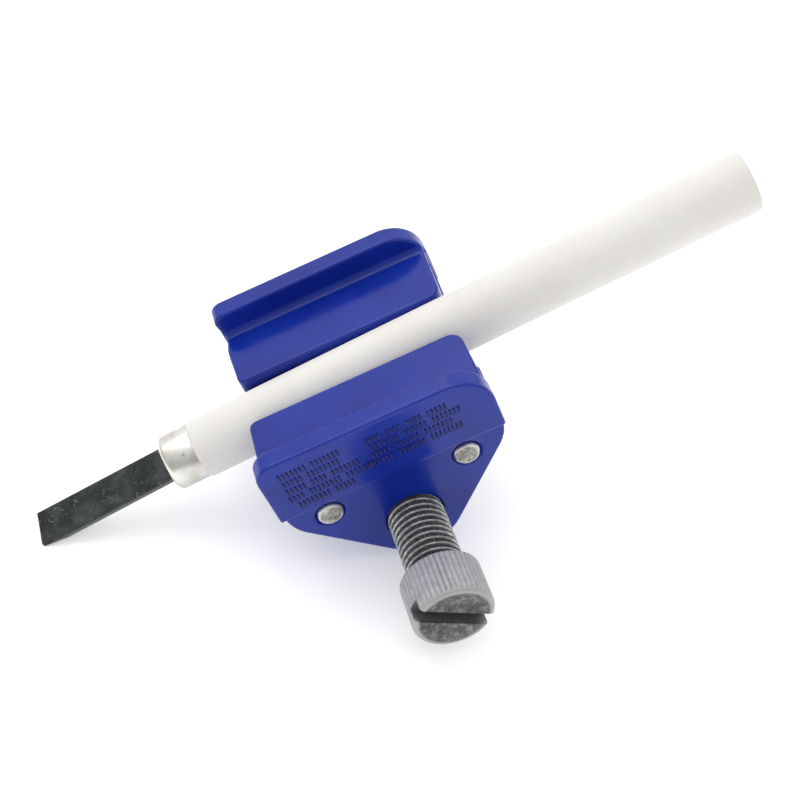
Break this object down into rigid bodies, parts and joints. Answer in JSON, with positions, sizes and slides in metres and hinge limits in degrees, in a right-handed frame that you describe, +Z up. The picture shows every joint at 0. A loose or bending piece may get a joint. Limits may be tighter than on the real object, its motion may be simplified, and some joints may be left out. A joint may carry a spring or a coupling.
{
  "type": "honing guide with carving chisel",
  "caption": "Side-clamping honing guide on a roller, with two mirrored jaws on guide rods, a knurled clamp screw and a slim carving chisel held by its handle.",
  "frame": {"origin": "point of the flat honing surface straight under the middle of the roller, in the rest pose where the roller and the near corner of the cutting edge both touch that surface", "axes": "+X along the tool towards the end of its handle, +Y across the jaws from the knob's side to the far jaw, +Z up from the honing surface"},
  "size_m": [0.1253, 0.0764, 0.0592],
  "materials": {
    "jaw_paint": "gloss",
    "bright_steel": "satin",
    "screw_steel": "satin",
    "knob_steel": "matte",
    "bush_brass": "satin",
    "handle_wood": "satin",
    "ferrule_nickel": "polished",
    "blade_steel": "satin"
  },
  "bodies": {
    "near_jaw": {"near_jaw": "jaw_paint", "guide_rod_front": "bright_steel", "guide_rod_rear": "bright_steel"},
    "far_jaw": {"far_jaw": "jaw_paint"},
    "roller_train": {"thrust_washer_near": "bright_steel", "thrust_washer_far": "bright_steel"},
    "screw": {"clamp_screw": "screw_steel", "clamp_knob": "knob_steel", "retaining_ring": "bright_steel"},
    "roller": {"roller": "bright_steel", "roller_bush": "bush_brass"},
    "tool": {"handle": "handle_wood", "ferrule": "ferrule_nickel", "chisel_blade": "blade_steel"}
  },
  "joints": [
    {"name": "roller_travel", "type": "slide", "parent": "near_jaw", "child": "roller_train", "axis": [0, 1, 0], "range_m": [0, 0.011]},
    {"name": "screw_turn", "type": "hinge", "parent": "roller_train", "child": "screw", "pos_m": [0, 0, 0.0095], "axis": [0, -1, 0], "range_deg": [0, 3168]},
    {"name": "far_jaw_travel", "type": "slide", "parent": "near_jaw", "child": "far_jaw", "axis": [0, 1, 0], "range_m": [0, 0.022]},
    {"name": "roller_spin", "type": "hinge", "parent": "roller_train", "child": "roller", "pos_m": [0, 0, 0.0095], "axis": [0, 1, 0], "continuous": true},
    {"name": "tool_slide", "type": "slide", "parent": "near_jaw", "child": "tool", "axis": [0.92, 0, 0.3918], "range_m": [-0.008, 0.02]}
  ],
  "couplings": [
    {"joint": "roller_travel", "follows": "far_jaw_travel", "ratio": 0.5},
    {"joint": "screw_turn", "follows": "far_jaw_travel", "rad_per_m": 2513.3}
  ]
}
